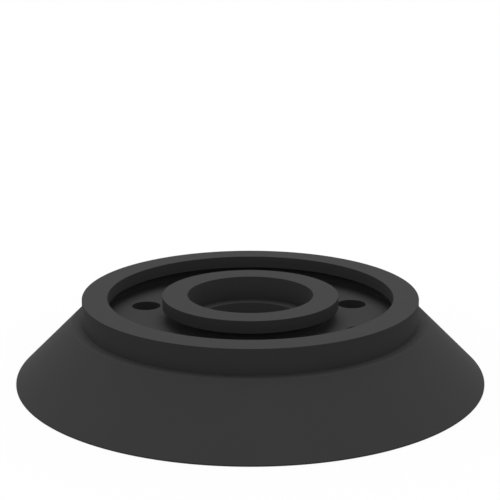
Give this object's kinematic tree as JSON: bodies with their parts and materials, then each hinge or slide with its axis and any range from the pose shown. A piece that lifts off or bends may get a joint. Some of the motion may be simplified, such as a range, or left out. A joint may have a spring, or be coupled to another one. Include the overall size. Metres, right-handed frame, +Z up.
{
  "type": "flat vacuum cup",
  "caption": "Round black rubber vacuum cup with a flat sealing lip on a conical skirt, an undercut ring groove for a snap-in fitting and a central suction bore.",
  "frame": {"origin": "centre of the sealing lip's plane, on the cup's axis", "axes": "+Z up along the cup's axis, from the sealing lip to the fitting side"},
  "size_m": [0.112, 0.112, 0.0197],
  "materials": {
    "rubber": "matt moulded black rubber"
  },
  "bodies": {
    "root": {"vacuum_cup": "rubber"}
  },
  "joints": []
}
